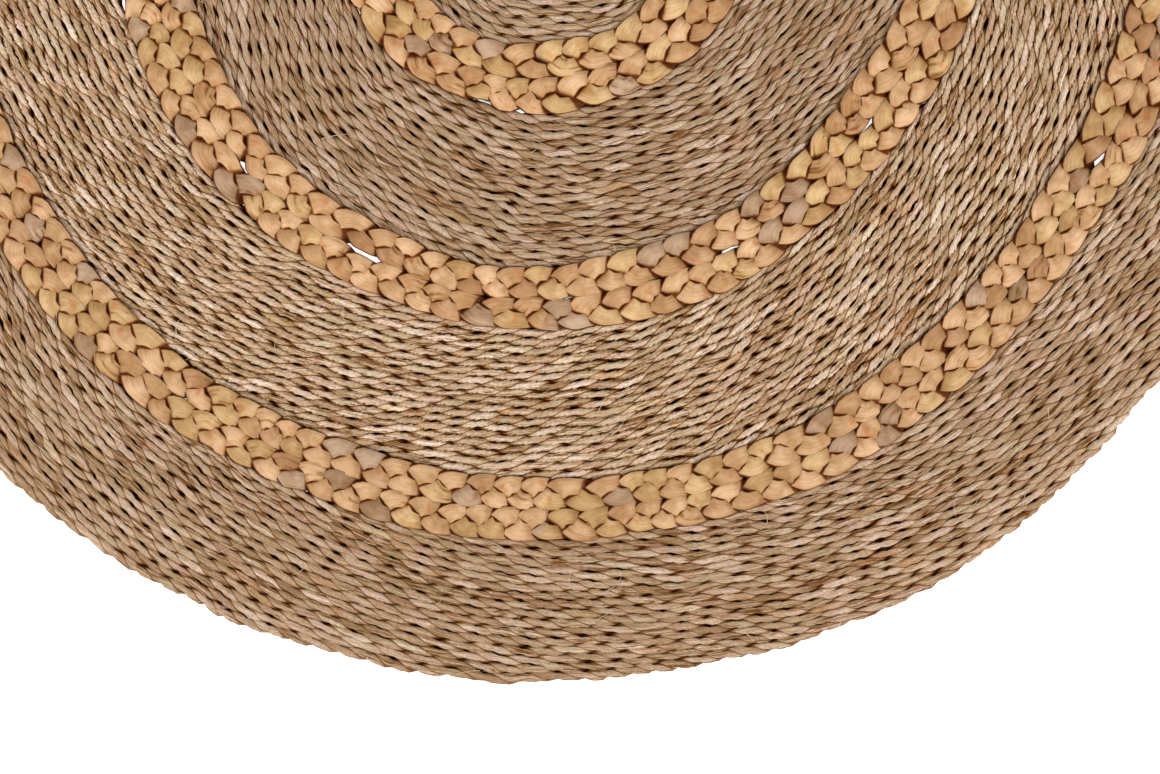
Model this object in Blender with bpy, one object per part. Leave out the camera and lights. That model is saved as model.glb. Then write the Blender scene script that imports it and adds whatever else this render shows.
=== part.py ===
"""Round rug: coils of twisted seagrass rope with three rings of plaited water hyacinth.

Metres, +Z up. The rug lies flat on the XY plane with its middle over the origin.
An angle round the rug is measured from -Y towards +X.
"""

import math

import bmesh
import bpy

# Every ring has the same number of facets, so that neighbours stay one even gap apart.
SEGMENTS = 42
SEAM_GAP = 0.0003

# Heights above the floor of the rope: its crown, the groove between rows, the rim's widest place.
ROPE_CROWN = 0.0070
ROPE_GROOVE = 0.0048
RIM_SIDE_HEIGHT = 0.0035
RIM_UNDERCUT = 0.0012

# Heights of a plait's two shoulders, of the dip between them and of its edges.
PLAIT_CROWN = 0.0098
PLAIT_MIDDLE = 0.0088
PLAIT_EDGE = 0.0034
PLAIT_SHOULDER_SHARE = 0.24

SHARP_ANGLE = math.radians(50)

# A seam is the line where one ring is sewn to the next: a circle that sways in and out
# three, six and nine times round the rug, as hand sewing leaves it.
SWAY_COUNTS = (3, 6, 9)

# Columns: seam, mean radius, then for each sway its height (m) and its turn (degrees).
SEAMS = (
    ("middle", 0.0000, (0.0000, 0), (0.0000, 0), (0.0000, 0)),
    ("centre", 0.1240, (0.0030, 160), (0.0015, -65), (0.0015, -145)),
    ("inner", 0.1725, (0.0025, 125), (0.0005, -65), (0.0015, 100)),
    ("second", 0.2860, (0.0055, 120), (0.0005, -40), (0.0020, 150)),
    ("mid", 0.3335, (0.0030, 110), (0.0020, 5), (0.0005, -165)),
    ("third", 0.4475, (0.0030, 85), (0.0025, -40), (0.0005, 130)),
    ("outer", 0.4920, (0.0030, 100), (0.0025, -45), (0.0015, 155)),
    ("rim", 0.5990, (0.0025, 100), (0.0025, -65), (0.0015, 155)),
)

# Columns: ring, seam inside it, seam outside it, rows of rope, colour.
COILS = (
    ("centre_coil", "middle", "centre", 18, (0.37, 0.24, 0.145)),
    ("second_coil", "inner", "second", 17, (0.36, 0.23, 0.14)),
    ("third_coil", "mid", "third", 17, (0.42, 0.275, 0.175)),
    ("edge_coil", "outer", "rim", 16, (0.38, 0.24, 0.15)),
)

# Columns: ring, seam inside it, seam outside it, colour. Each ring is two plaits side by side.
PLAIT_RINGS = (
    ("inner_plait", "centre", "inner", (0.52, 0.31, 0.155)),
    ("middle_plait", "second", "mid", (0.525, 0.305, 0.15)),
    ("outer_plait", "third", "outer", (0.52, 0.30, 0.15)),
)
PLAIT_ROWS = ("a", "b")

ROPE_ROUGHNESS = 0.85
PLAIT_ROUGHNESS = 0.65


def clear_scene():
    """Remove every object, so that the file holds the rug alone."""
    for old in list(bpy.data.objects):
        bpy.data.objects.remove(old, do_unlink=True)


def seam_radius(seam_name, angle):
    """Radius of a seam at an angle round the rug."""
    for name, radius, *sways in SEAMS:
        if name == seam_name:
            for count, (height, turn) in zip(SWAY_COUNTS, sways):
                radius += height * math.sin(count * angle + math.radians(turn))
            return radius
    raise ValueError("no seam named " + seam_name)


def radius_between(inside, outside, share, angle):
    """Radius that lies a share of the way from one seam to the next."""
    start = seam_radius(inside, angle)
    return start + (seam_radius(outside, angle) - start) * share


def rope_section(rows, solid_middle, is_rim):
    """Top of a coil of rope, as (share of its width, height): a crown for each row."""
    section = [(0.0, ROPE_CROWN if solid_middle else ROPE_GROOVE)]
    for row in range(rows):
        if row > 0 or not solid_middle:
            section.append(((row + 0.5) / rows, ROPE_CROWN))
        section.append(((row + 1.0) / rows, ROPE_GROOVE))
    if is_rim:
        section[-1] = (1.0, RIM_SIDE_HEIGHT)
    return section


def plait_section():
    """Top of one plait, as (share of its width, height): two shoulders and a dip between."""
    return [
        (0.0, PLAIT_EDGE),
        (PLAIT_SHOULDER_SHARE, PLAIT_CROWN),
        (0.5, PLAIT_MIDDLE),
        (1.0 - PLAIT_SHOULDER_SHARE, PLAIT_CROWN),
        (1.0, PLAIT_EDGE),
    ]


def point_at(angle, radius, height):
    """Point at an angle round the rug."""
    return (radius * math.sin(angle), -radius * math.cos(angle), height)


def loop_of_points(bm, inside, outside, share_span, share, height, inset):
    """Closed loop of points round the rug, at a share of a ring's own width."""
    first_share, last_share = share_span
    loop = []
    for step in range(SEGMENTS):
        angle = 2 * math.pi * step / SEGMENTS
        low = radius_between(inside, outside, first_share, angle) + SEAM_GAP / 2
        high = radius_between(inside, outside, last_share, angle) - SEAM_GAP / 2
        radius = low + (high - low) * share - inset
        loop.append(bm.verts.new(point_at(angle, radius, height)))
    return loop


def bridge(bm, inner_loop, outer_loop):
    """Band of four-sided faces from one loop of points to the next."""
    for step in range(SEGMENTS):
        after = (step + 1) % SEGMENTS
        bm.faces.new((inner_loop[step], outer_loop[step], outer_loop[after], inner_loop[after]))


def ring_mesh(name, inside, outside, share_span, section, undercut):
    """Closed ring, or a disc where it starts at the middle: a shaped top on a flat underside."""
    bm = bmesh.new()
    is_disc = inside == "middle"
    tops = section[1:] if is_disc else section
    loops = []
    for share, height in tops:
        loops.append(loop_of_points(bm, inside, outside, share_span, share, height, 0.0))
    foot_outside = loop_of_points(bm, inside, outside, share_span, 1.0, 0.0, undercut)
    for near, far in zip(loops, loops[1:]):
        bridge(bm, near, far)
    bridge(bm, loops[-1], foot_outside)
    if is_disc:
        middle = bm.verts.new((0.0, 0.0, section[0][1]))
        for step in range(SEGMENTS):
            bm.faces.new((middle, loops[0][step], loops[0][(step + 1) % SEGMENTS]))
        bm.faces.new(tuple(reversed(foot_outside)))
    else:
        foot_inside = loop_of_points(bm, inside, outside, share_span, 0.0, 0.0, 0.0)
        bridge(bm, foot_outside, foot_inside)
        bridge(bm, foot_inside, loops[0])
    bmesh.ops.recalc_face_normals(bm, faces=bm.faces)
    mesh = bpy.data.meshes.new(name)
    bm.to_mesh(mesh)
    bm.free()
    mesh.shade_smooth()
    mesh.set_sharp_from_angle(angle=SHARP_ANGLE)
    return mesh


def fibre_material(name, colour, roughness):
    """Plain dry plant fibre."""
    material = bpy.data.materials.new(name)
    material.use_nodes = True
    shader = material.node_tree.nodes["Principled BSDF"]
    shader.inputs["Base Color"].default_value = (*colour, 1.0)
    shader.inputs["Roughness"].default_value = roughness
    shader.inputs["Metallic"].default_value = 0.0
    return material


def add_ring(name, mesh, material):
    """Put one ring in the scene."""
    mesh.materials.append(material)
    bpy.context.collection.objects.link(bpy.data.objects.new(name, mesh))


def add_coils():
    """The four bands of rope, each wound in a spiral and sewn row to row."""
    for name, inside, outside, rows, colour in COILS:
        is_rim = outside == "rim"
        section = rope_section(rows, inside == "middle", is_rim)
        undercut = RIM_UNDERCUT if is_rim else 0.0
        mesh = ring_mesh(name, inside, outside, (0.0, 1.0), section, undercut)
        add_ring(name, mesh, fibre_material(name + "_seagrass", colour, ROPE_ROUGHNESS))


def add_plaits():
    """The three double rings of flat three-strand plait."""
    width = 1.0 / len(PLAIT_ROWS)
    for ring_name, inside, outside, colour in PLAIT_RINGS:
        for row, letter in enumerate(PLAIT_ROWS):
            name = ring_name + "_" + letter
            share_span = (row * width, (row + 1) * width)
            mesh = ring_mesh(name, inside, outside, share_span, plait_section(), 0.0)
            add_ring(name, mesh, fibre_material(name + "_hyacinth", colour, PLAIT_ROUGHNESS))


clear_scene()
add_coils()
add_plaits()
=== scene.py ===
"""Looks of the round rug: twisted seagrass rope and plaited water hyacinth, strand by strand.

Laid out as an add-on, and run as a script. Every length is in metres. The rug lies on the
XY plane with its middle over the origin, and an angle round it is measured from -Y towards +X.
"""

import math

import bpy
import numpy as np
from bpy.props import (
    FloatProperty,
    FloatVectorProperty,
    IntProperty,
    PointerProperty,
)
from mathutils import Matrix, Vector


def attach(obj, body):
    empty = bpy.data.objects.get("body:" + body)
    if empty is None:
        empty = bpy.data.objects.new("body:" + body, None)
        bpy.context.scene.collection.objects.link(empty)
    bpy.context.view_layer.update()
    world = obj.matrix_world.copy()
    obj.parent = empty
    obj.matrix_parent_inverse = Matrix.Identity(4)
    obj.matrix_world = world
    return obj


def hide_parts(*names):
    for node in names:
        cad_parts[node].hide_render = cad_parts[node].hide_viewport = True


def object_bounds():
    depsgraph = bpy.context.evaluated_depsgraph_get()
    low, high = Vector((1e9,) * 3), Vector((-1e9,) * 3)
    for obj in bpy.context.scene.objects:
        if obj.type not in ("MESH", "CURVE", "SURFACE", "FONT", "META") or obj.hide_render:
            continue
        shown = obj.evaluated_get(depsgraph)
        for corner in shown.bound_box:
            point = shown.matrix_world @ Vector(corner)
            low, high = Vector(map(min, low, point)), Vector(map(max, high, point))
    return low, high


bl_info = {
    "name": "Seagrass and Hyacinth Rug",
    "version": (1, 0, 0),
    "blender": (4, 5, 0),
    "location": "View3D > Sidebar > Rug",
    "description": "Makes the ropes, plaits and loose fibres of a round natural-fibre rug",
    "category": "Add Mesh",
}

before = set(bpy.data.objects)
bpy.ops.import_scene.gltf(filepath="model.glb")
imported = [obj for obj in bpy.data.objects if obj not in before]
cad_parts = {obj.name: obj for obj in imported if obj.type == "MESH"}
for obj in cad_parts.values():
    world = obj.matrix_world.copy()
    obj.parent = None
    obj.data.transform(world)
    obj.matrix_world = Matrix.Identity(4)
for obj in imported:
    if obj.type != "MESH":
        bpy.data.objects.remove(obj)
CAD_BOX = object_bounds()

# A seam is the line where one ring is sewn to the next: a circle that sways in and out
# three, six and nine times round the rug.
SWAY_COUNTS = (3, 6, 9)

# Columns: mean radius, then for each sway its height (m) and its turn (degrees).
SEAMS = {
    "middle": (0.0000, (0.0000, 0), (0.0000, 0), (0.0000, 0)),
    "centre": (0.1240, (0.0030, 160), (0.0015, -65), (0.0015, -145)),
    "inner": (0.1725, (0.0025, 125), (0.0005, -65), (0.0015, 100)),
    "second": (0.2860, (0.0055, 120), (0.0005, -40), (0.0020, 150)),
    "mid": (0.3335, (0.0030, 110), (0.0020, 5), (0.0005, -165)),
    "third": (0.4475, (0.0030, 85), (0.0025, -40), (0.0005, 130)),
    "outer": (0.4920, (0.0030, 100), (0.0025, -45), (0.0015, 155)),
    "rim": (0.5990, (0.0025, 100), (0.0025, -65), (0.0015, 155)),
}

# Columns: node, seam inside it, seam outside it, rows, twist, pieces, tint.
# Twist -1 has each ply run outwards over the top as the angle grows, and +1 inwards.
COILS = (
    ("centre_coil", "middle", "centre", 18, -1, 1, (0.84, 0.865, 0.855)),
    ("second_coil", "inner", "second", 17, -1, 1, (0.84, 0.865, 0.865)),
    ("third_coil", "mid", "third", 17, 1, 2, (1.10, 1.19, 1.235)),
    ("edge_coil", "outer", "rim", 16, -1, 2, (0.86, 0.885, 0.885)),
)

# Columns: node stem, seam inside it, seam outside it, lightness.
PLAIT_RINGS = (
    ("inner_plait", "centre", "inner", 0.95),
    ("middle_plait", "second", "mid", 0.91),
    ("outer_plait", "third", "outer", 0.85),
)
PLAIT_ROWS = ("a", "b")

# Slits that show the floor. Columns: node stem, seam (0 inside the rows, 1 between them,
# 2 outside them), angle (degrees), width and length (m).
SLITS = (
    ("inner_plait", 2, -54.4, 0.0012, 0.012),
    ("inner_plait", 2, -14.3, 0.0026, 0.016),
    ("inner_plait", 2, -5.9, 0.0022, 0.014),
    ("middle_plait", 1, -46.2, 0.0012, 0.012),
    ("middle_plait", 1, -27.8, 0.0012, 0.012),
    ("middle_plait", 1, -25.1, 0.0032, 0.022),
    ("middle_plait", 1, 3.0, 0.0012, 0.010),
    ("middle_plait", 1, 26.6, 0.0026, 0.014),
    ("middle_plait", 1, 52.8, 0.0016, 0.014),
    ("middle_plait", 2, -73.6, 0.0024, 0.020),
    ("middle_plait", 2, -42.6, 0.0014, 0.016),
    ("middle_plait", 2, 58.6, 0.0014, 0.008),
    ("outer_plait", 1, -34.5, 0.0014, 0.010),
    ("outer_plait", 1, 63.3, 0.0036, 0.018),
    ("outer_plait", 2, -30.3, 0.0014, 0.010),
    ("outer_plait", 2, -21.8, 0.0016, 0.014),
)

# A slit between two rows of rope. Columns: angle (degrees), radius, width and length (m).
ROPE_SLITS = ((19.7, 0.3690, 0.0016, 0.009),)

# Places where one length of rope is knotted to the next. Columns: angle (degrees), radius and reach (m).
TANGLES = (
    (21.9, 0.3735, 0.026),
    (-20.7, 0.3710, 0.016),
    (26.5, 0.5480, 0.020),
    (-7.5, 0.2380, 0.014),
    (44.0, 0.5440, 0.016),
    (-38.0, 0.5600, 0.018),
    (98.0, 0.4050, 0.022),
    (-120.0, 0.5300, 0.022),
    (172.0, 0.2300, 0.018),
)

# The same sewing goes on out of the photograph's sight: slits at random, this many to a metre.
HIDDEN_SLITS_PER_METRE = 4.0
HIDDEN_SLIT_SEAMS = (1, 1, 2, 2, 0)
HIDDEN_SLIT_WIDTHS = (0.0012, 0.0032)
HIDDEN_SLIT_LENGTHS = (0.010, 0.020)
SEEN_ANGLE = math.radians(72)

# A slit opens over this share of its length to each side of its middle, and reaches its full
# width sooner where the fullness is more. A plait's edge no longer presses on the next at this width.
SLIT_HALF = 0.62
SLIT_FULLNESS = 1.6
FREE_WIDTH = 0.0010

# How rope rows part round their slit. The first two are as for a plait's slits. The rows part by the
# slit's width and a little more, and less with their distance from it.
PARTING_HALF = 0.6
PARTING_FULLNESS = 1.5
PARTING_SPARE = 0.0004
PARTING_FADE = 0.010

# A coil's rows are rings of two-ply rope, and the rope steps over to the next row in a share of a turn.
# One share of such a step is added before the first row, to fill the wedge that its step over leaves,
# and another is cut off the last row. The centre coil's first rows are a spiral from the middle.
PLIES = 2
ROPE_START_ANGLE = math.radians(150)
STEP_OVER_SHARE = 0.03
LEAD_IN_SHARE = 0.62
CUT_OFF_SHARE = 0.8
SPIRAL_ROWS = 4
SPIRAL_START = -0.45
DENSE_STEPS_PER_TURN = 720

# How a rope strays. Columns: height, what a tangle adds to it, and spacing (m). The heights are
# radians for the twist, and metres for the rows, the lift off the floor and the rim.
SLOW_TWIST = (2.6, 0.0, 0.160)
QUICK_TWIST = (0.55, 0.8, 0.050)
ROW_STRAY = (0.00028, 0.0011, 0.026)
ROPE_LIFT = (0.0003, 0.0008, 0.030)
RIM_LUMP = (0.0006, 0.0, 0.012)

# A tangle fades out at its reach. More of it is fully tangled where this is more.
TANGLE_FULLNESS = 1.4

# A rope turns faster where the crease between its plies is on top.
QUICK_TURN = 0.15

# A ply's section from its crease on, as shares of its reach outwards and of its breadth. The crease
# is shallow where it crosses the top of the rope, and opens into a notch where it comes to a side.
# The notch is shorter with a higher power.
CREASE_ON_TOP = ((0.00, -0.79), (0.26, -0.95), (0.92, -0.56), (0.92, 0.56), (0.26, 0.95))
CREASE_ASIDE = ((0.00, -0.36), (0.50, -0.57), (0.95, -0.44), (0.95, 0.44), (0.50, 0.57))
NOTCH_POWER = 6

# How a ply's size wanders: what a tangle adds to it as a share, the share of it that the ply's reach
# takes, how much the crease's depth does, and the spacing (m) of each.
PLY_TANGLING = 1.2
PLY_REACH_SHARE = 0.6
PLY_REACH_SPACING = 0.019
PLY_BREADTH_SPACING = 0.021
CREASE_UNEVENNESS = 0.12
CREASE_SPACING = 0.014

# Rope that lies on the floor is flatter than it is wide, and spread out below. Its ends taper to a
# share of its size over a few sections.
ROPE_FLATTENING = 0.86
SPREAD_BELOW = 0.70
END_SIZE = 0.50
END_STEPS = 3
FLOOR_CLEARANCE = 0.0002

UP = np.array([0.0, 0.0, 1.0])

# How a plait strays, with the same columns. The heights are radians for the crossings, of all strands
# together and of each alone, and metres for a strand's place aside and up.
CROSSINGS_TOGETHER = (0.60, 0.0, 0.060)
CROSSINGS_ALONE = (0.21, 0.0, 0.035)
STRAND_ASIDE = (0.0004, 0.0, 0.030)
STRAND_LIFT = (0.0003, 0.0, 0.030)
STRAND_SIZE_SPACING = 0.022

# A plait's strands: how straight each runs from edge to edge, the power that keeps its edge sizes to
# the turns, how sharply it peaks where it crosses over, and how far it swings past its edge sizes.
PLAIT_STRANDS = 3
PLAIT_SIDES = 10
SWERVE_STRAIGHTNESS = 0.70
TURN_POWER = 3
CROSSING_PEAK = 0.4
SWING_SPARE = 0.0010

# Share of its breadth and of its swing that a strand loses where it passes under the others.
PLAIT_TUCK = 0.28

# Neighbouring plaits press into each other this far, and flatten over this share of their half width.
PLAIT_PRESS = 0.0010
PLAIT_EDGE_ROUNDING = 0.16

# Powers of the sine that round a strand's section: 1 is an ellipse, and less is squarer.
PAD_SQUARENESS_ACROSS = 0.45
PAD_SQUARENESS_UP = 0.40

# Strands number their pads this far apart, and plies their grains, so that no two share their
# random colours.
PADS_APART = 150.0
GRAINS_APART = 4000.0

# Hand sewing pushes neighbouring rows in and out together, in waves this many times round the rug.
# Each wave turns with the radius, by radians to a metre between these two.
HAND_SWAY_COUNTS = (13, 19, 29, 37, 53)
HAND_SWAY_HEIGHT = 0.00045
HAND_SWAY_FULL_RADIUS = 0.30
HAND_SWAY_TURNS = (30.0, 110.0)

# Loose fibres: spread of their bend and of their direction (radians), how much more a hair at the
# rim bends, the heights where fibre and hair leave the rope, and limits of how high they rise above
# that and of how far round such a rise, a sine, they go (radians).
FIBRE_BEND = 0.9
FIBRE_SPREAD = 0.55
HAIR_BEND = 2.0
FIBRE_ROOT = 0.0058
HAIR_ROOT = 0.0042
FIBRE_RISES = (0.0012, 0.0035)
FIBRE_RISE_ENDS = (1.6, 3.0)

# How far fibres stay from a coil's outer seam, how far inside the rim a hair stands, its length as
# shares of the shortest fibre, its thickness as a share of a fibre's, the share of their thickness
# that both lose towards the tip, and how much wider than thick they are.
FIBRE_SEAM_GAP = 0.004
HAIR_INSET = 0.0010
HAIR_LENGTHS = (0.5, 1.2)
HAIR_THICKNESS = 1.5
FIBRE_TAPER = 0.75
FIBRE_WIDENING = 1.5
FIBRE_STEPS = 6
FIBRE_SIDES = 3

# Along a fibre the pattern map grows by less than 1, which gives it one random colour.
FIBRE_SPAN = 0.9

# Seeds of the random draws.
SWAY_SEED = 11
SLIT_SEED = 7
ROPE_SEED = 100
PLAIT_SEED = 200
FIBRE_SEED = 300

# Girths that share out the rows of the bake map.
ROPE_GIRTH = 0.022
STRAND_GIRTH = 0.033
FIBRE_GIRTH = 0.0015

# Names of the maps on each mesh, and shares of a row of the bake map that its margin and its ends take.
PATTERN_MAP = "Strand"
BAKE_MAP = "OFBake"
DEPTH_ATTRIBUTE = "depth"
ATLAS_MARGIN = 0.06
CAP_SHARE = 0.3

# The rim's outer side takes no more painted shade than a groove of this depth.
RIM_DEPTH = 0.55

# How far blades lean across a grain, and how much the painted shade of a crease widens down a rope's side.
BLADE_LEAN = 1.2
HOLE_WIDENING = 0.20

# Powers of a shade's green and its blue, which make a grey shade brown: below 1, and above 1. The deep
# ones are added towards black, from a shade on.
SHADE_WARMTH = (1.38, 2.0)
DEEP_WARMTH = (0.4, 1.5)
DEEP_FROM = 0.8
LIGHT_WARMTH = (1.24, 1.75)

# Shares of the grains that are split and of the pads that are torn. A grain whose random number is
# over the third is rusty.
SPLIT_SHARE = 0.5
TORN_SHARE = 0.18
RUSTY_FROM = 0.95

# How ragged the painted shade along creases and pads' edges is, and the share of it at the crease between
# the plies.
CREASE_RAGGEDNESS = 0.42
CREASE_RAGGED_SHARE = 0.4
PAD_RAGGEDNESS = 0.06

# How much sooner one side of a pad comes up than the other, and how much later it goes under.
START_SLANT = 0.3
END_SLANT = 0.4

# Columns: strength and distance (m) of the bump, roughness where a streak is low and high, and gloss.
ROPE_FINISH = (0.7, 0.0006, 0.85, 0.62, 0.05)
PLAIT_FINISH = (0.3, 0.0005, 0.72, 0.50, 0.12)

STAIN = (0.95, 0.74, 0.62)
FIBRE_COLOURS = ((0.62, 0.50, 0.36), (0.50, 0.36, 0.23), (0.66, 0.52, 0.33))
FIBRE_ROUGHNESS = 0.7

# Painted shade: pads are darkened within this distance (m) of each other.
CONTACT_REACH = 0.0022

# The floor under the rug is painted the dark brown of the shade among its fibres, a painted shade that
# shows through gaps between the strands. It glows under a slit, a painted light that shows the slit white,
# fading over this reach to each side and fully from this width on, and outside the rim, starting between
# two distances inside it. Under the slit between rope rows it glows over a part of the slit's length.
PAINTED_SHADE_UNDER_RUG = (0.10, 0.055, 0.025)
SHEET_WHITE = 0.82
SHEET_ROUGHNESS = 0.9
FLOOR_STEPS = 360
SLIT_REACH = 0.005
SLIT_GLOW = 2.4
GLOW_WIDTH = 0.0006
ROPE_SLIT_HALF = 0.5
ROPE_SLIT_FULLNESS = 2.0
RIM_SHADE = (0.006, 0.002)

PHOTO_WIDTH_PX = 1160
PHOTO_METRES_PER_PX = 0.000747
VIEW_CENTRE = (0.0273, -0.3800)
SENSOR_WIDTH_MM = 36.0
KEY_AHEAD = -1.0


def length_setting(name, description, default, **limits):
    """Setting that is a length."""
    return FloatProperty(name=name, description=description, default=default, unit="LENGTH", **limits)


def colour_setting(name, description, default):
    """Setting that is a colour."""
    return FloatVectorProperty(
        name=name, description=description, subtype="COLOR", size=3, default=default)


class RugRopeSettings(bpy.types.PropertyGroup):
    """Sizes and colours of the seagrass rope."""

    lay: length_setting("Lay", "Length in which a ply goes once round the rope", 0.0396, min=0.01, max=0.2)
    steps_per_lay: IntProperty(
        name="Steps per Lay", description="Sections modelled in one lay", default=10, min=6, max=24)
    ply_reach: length_setting("Ply Reach", "From the rope's middle to a ply's outer side", 0.00420)
    ply_breadth: length_setting("Ply Breadth", "Half of a ply's breadth, along the crease", 0.00385)
    pitch: length_setting("Row Pitch", "Distance between rows that the ply sizes are for", 0.0067)
    centre_height: length_setting("Centre Height", "Height of the rope's middle above the floor", 0.0035)
    unevenness: FloatProperty(
        name="Unevenness", description="How much a ply's size wanders, as a share of it",
        default=0.20, min=0.0, max=0.5)
    tan: colour_setting("Tan", "Commonest blade colour", (0.462, 0.314, 0.207))
    green: colour_setting("Greenish", "Blades that dried green-grey", (0.438, 0.313, 0.198))
    pink: colour_setting("Pinkish", "Blades that dried pink-brown", (0.452, 0.294, 0.202))
    straw: colour_setting("Straw", "Yellower blades", (0.515, 0.360, 0.215))
    rust: colour_setting("Rust", "The few orange-brown blades", (0.420, 0.215, 0.095))


class RugPlaitSettings(bpy.types.PropertyGroup):
    """Sizes and colours of the hyacinth plait."""

    period: length_setting("Period", "Length in which a strand returns to the same side", 0.0655)
    steps_per_period: IntProperty(
        name="Steps per Period", description="Sections modelled in one period", default=24, min=12, max=48)
    thickness: length_setting("Thickness", "Thickness of the plait", 0.0098)
    rise: length_setting("Rise", "How far a strand rises and dips from the middle", 0.0028)
    strand_breadth: length_setting("Strand Breadth", "Half of a strand's breadth where it crosses", 0.0086)
    strand_depth: length_setting("Strand Depth", "Half of a strand's thickness where it crosses", 0.0027)
    edge_breadth: length_setting("Edge Breadth", "Half of a strand's breadth where it turns back", 0.0066)
    edge_depth: length_setting("Edge Depth", "Half of a strand's thickness where it turns back", 0.0036)
    unevenness: FloatProperty(
        name="Unevenness", description="How much a strand's size wanders, as a share of it",
        default=0.15, min=0.0, max=0.5)
    honey: colour_setting("Honey", "Commonest strand colour", (0.550, 0.332, 0.172))
    gold: colour_setting("Gold", "Yellower strands", (0.526, 0.335, 0.156))
    grey: colour_setting("Grey", "Strands that dried grey-brown", (0.405, 0.265, 0.164))
    red: colour_setting("Reddish", "Strands that dried red-brown", (0.465, 0.259, 0.130))


class RugFibreSettings(bpy.types.PropertyGroup):
    """Loose fibre ends that stand out of the ropes."""

    count: IntProperty(
        name="Count", description="Loose fibres on the whole rug", default=420, min=0, max=2000)
    rim_count: IntProperty(
        name="Rim Count", description="Short hairs round the rim", default=150, min=0, max=1000)
    shortest: length_setting("Shortest", "Shortest loose end", 0.006)
    longest: length_setting("Longest", "Longest loose end", 0.030)
    thickness: length_setting("Thickness", "Thickness of a loose fibre", 0.00045)


class RugStageSettings(bpy.types.PropertyGroup):
    """Camera, floor and light."""

    camera_distance: length_setting("Camera Height", "Height of the camera above the rug", 2.4)
    floor_reach: length_setting("Floor Reach", "How far the floor goes beyond the rug", 14.0)
    # The floor's glow is light that it gives off though it is no lamp: painted light under the slits, and an
    # even white round the rug.
    floor_glow: FloatProperty(
        name="Floor Glow", description="Light that the floor gives off, as a white sheet does", default=0.5)
    sky_strength: FloatProperty(name="Sky Strength", description="Even light from all round", default=0.50)
    key_power: FloatProperty(
        name="Key Power", description="Power of each of the two soft lights", default=75.0, unit="POWER")
    key_size: length_setting("Key Size", "Side of a soft light", 1.3)
    key_aside: length_setting("Key Aside", "How far a soft light stands to the side", 2.2)
    key_height: length_setting("Key Height", "Height of the soft lights", 1.7)


def seam_radius(seam, angle):
    """Radius of a seam at each angle."""
    radius, *sways = SEAMS[seam]
    out = np.full_like(angle, radius)
    for count, (height, turn) in zip(SWAY_COUNTS, sways):
        out += height * np.sin(count * angle + math.radians(turn))
    return out


def hand_sway(angle, radius):
    """How far outwards hand sewing has pushed the places at each angle and radius."""
    rng = np.random.default_rng(SWAY_SEED)
    out = np.zeros_like(angle)
    for count in HAND_SWAY_COUNTS:
        across, turn = rng.uniform(*HAND_SWAY_TURNS), rng.uniform(0.0, math.tau)
        out += np.sin(count * angle + across * radius + turn)
    return out * HAND_SWAY_HEIGHT * np.minimum(radius / HAND_SWAY_FULL_RADIUS, 1.0)


def mean_radius(inside, outside):
    """Radius halfway between two seams."""
    return (SEAMS[inside][0] + SEAMS[outside][0]) / 2.0


def turn_from(angle, degrees):
    """Turn from a place round the rug to each angle, the short way."""
    return (angle - math.radians(degrees) + math.pi) % math.tau - math.pi


def smooth_step(share):
    """Ease from 0 to 1."""
    share = np.clip(share, 0.0, 1.0)
    return share * share * (3.0 - 2.0 * share)


def wander(rng, place, spacing, total):
    """Smooth random curve from -1 to 1 along a length, which meets itself after the total."""
    count = max(int(round(total / spacing)), 4)
    knots = rng.uniform(-1.0, 1.0, count)
    scaled = place / total * count
    index = np.floor(scaled).astype(int)
    blend = smooth_step(scaled - index)
    return knots[index % count] * (1.0 - blend) + knots[(index + 1) % count] * blend


def stray(rng, place, kind, total, tangle=0.0):
    """Smooth random curve along a rope, of a height and spacing, higher where it is tangled."""
    height, tangled, spacing = kind
    return (height + tangled * tangle) * wander(rng, place, spacing, total)


def place_round(angle, radius, height):
    """Points at angles round the rug."""
    return np.stack([radius * np.sin(angle), -radius * np.cos(angle), height], axis=-1)


def unit(vectors):
    """Vectors of length one."""
    return vectors / np.linalg.norm(vectors, axis=-1, keepdims=True)


def directions_across(path, closed):
    """Two directions square to a path at each of its points, the first of them level."""
    if closed:
        ahead = unit(np.roll(path, -1, axis=0) - np.roll(path, 1, axis=0))
    else:
        ahead = unit(np.gradient(path, axis=0))
    across = unit(np.cross(ahead, UP))
    return across, np.cross(across, ahead)


def face_corners(left, right, low, high):
    """Places of each face's four corners on a map."""
    return np.stack([
        np.stack([left, low], -1), np.stack([right, low], -1),
        np.stack([right, high], -1), np.stack([left, high], -1)], axis=-2)


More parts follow.
